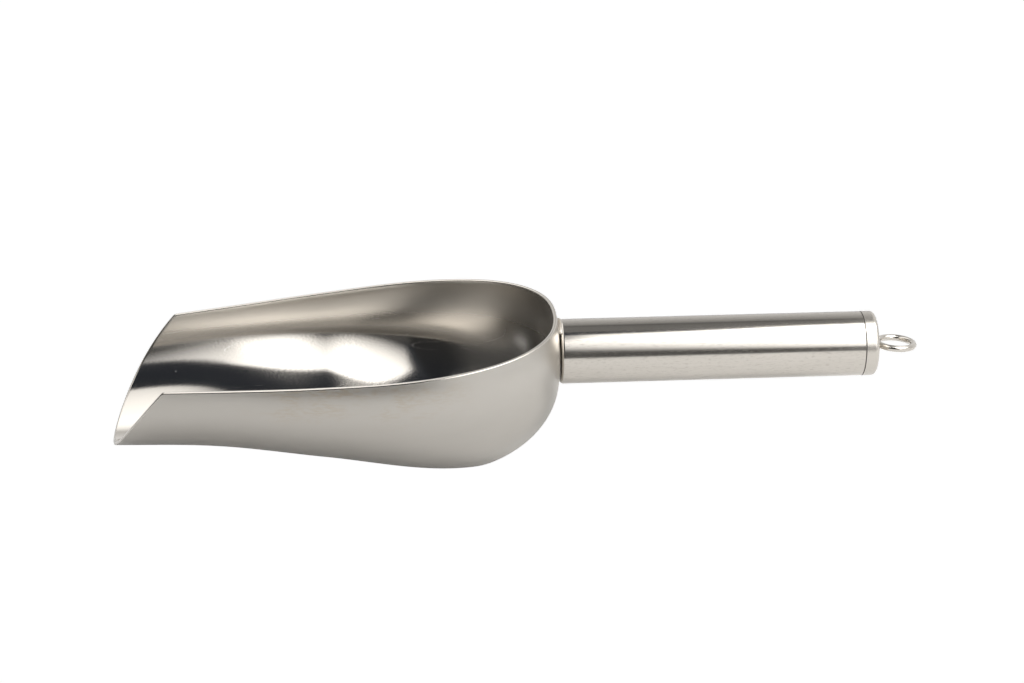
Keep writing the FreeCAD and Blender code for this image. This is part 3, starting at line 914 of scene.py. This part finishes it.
def make_world():
    """Studio round the object by direction. The background itself is plain white."""
    world = bpy.data.worlds.new("studio")
    world.use_nodes = True
    nodes = Nodes(world.node_tree)
    ways = nodes.add("ShaderNodeSeparateXYZ", {
        "Vector": nodes.add("ShaderNodeTexCoord").outputs["Generated"]}).outputs
    turn = nodes.math("DEGREES", nodes.math("ARCTAN2", ways["Z"], nodes.math("MULTIPLY", ways["Y"], -1.0)))
    room = nodes.ramp(turn, 0, 180, MIDDLE_ROOM)
    sides = ((LEFT_FADE, LEFT_ROOM), (FAR_LEFT_FADE, FAR_LEFT_ROOM), (RIGHT_FADE, RIGHT_ROOM))
    for fade, side in sides:
        room = nodes.mix(nodes.fade(ways["X"], *fade), room, nodes.ramp(turn, 0, 180, side))
    seen = nodes.mix(nodes.add("ShaderNodeLightPath").outputs["Is Camera Ray"], room, (1, 1, 1, 1))
    sky = nodes.add("ShaderNodeBackground", {"Color": seen})
    nodes.add("ShaderNodeOutputWorld", {"Surface": sky.outputs["Background"]})
    bpy.context.scene.world = world


# The inside's dull wall mark paints shade high on the walls as well as roughening them.
inside_steel = make_steel(
    "bowl_inside_polished", POLISHED, roughness=0.08, spread=0.02, cloud=(40, 20, 20),
    grain=(0.9, 0.5, 0.5), depth=0.005, marks=(dull_and_shaded_wall, scratches, dust))
# The outside's satin colours are darker as painted shade for the dimmer floor it reflects.
outside_steel = make_steel(
    "bowl_outside_satin_painted_shade", SATIN_AND_PAINTED_SHADE, roughness=0.32, spread=0.03, cloud=(50, 9, 9),
    grain=(5, 0.5, 0.5), depth=0.004, marks=(stains,))
edge_steel = make_steel(
    "bowl_edge", POLISHED, roughness=0.2, spread=0.04, cloud=(6, 6, 6),
    grain=(0.6, 0.2, 0.2), depth=0.004)
handle_steel = make_steel(
    "handle_brushed", POLISHED, roughness=0.13, spread=0.03, cloud=(22, 1.2, 1.2),
    grain=(4, 0.14, 0.14), depth=0.0016, marks=(speckle, seam))
cap_steel = make_steel(
    "cap_satin", POLISHED, roughness=0.24, spread=0.03, cloud=(3, 3, 3),
    grain=(0.16, 0.16, 0.16), depth=0.003, turned=True, marks=(seam,))
ring_steel = make_steel(
    "ring_polished", POLISHED, roughness=0.08, spread=0.02, cloud=(3, 3, 3),
    grain=(0.6, 0.6, 0.6), depth=0.004)
weld_steel = make_steel(
    "weld_bead_steel", POLISHED, roughness=0.34, spread=0.05, cloud=(1.5, 1.5, 1.5),
    grain=(0.4, 0.4, 0.4), depth=0.02, marks=(heat_tint,))

make_camera()
make_bowl([outside_steel, inside_steel, edge_steel])
make_handle_tube(handle_steel)
make_end_cap(cap_steel)
make_hang_ring(ring_steel)
make_weld_bead(weld_steel)
for node, finish in (("seat_weld", weld_steel), ("ring_washer", ring_steel)):
    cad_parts[node].data.materials.clear()
    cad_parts[node].data.materials.append(finish)
make_floors()
make_softbox("front_softbox", FRONT_SOFTBOX)
make_softbox("rear_softbox", REAR_SOFTBOX)
make_softbox("handle_softbox", HANDLE_SOFTBOX)
make_world()
bpy.context.scene.view_settings.view_transform = "Standard"
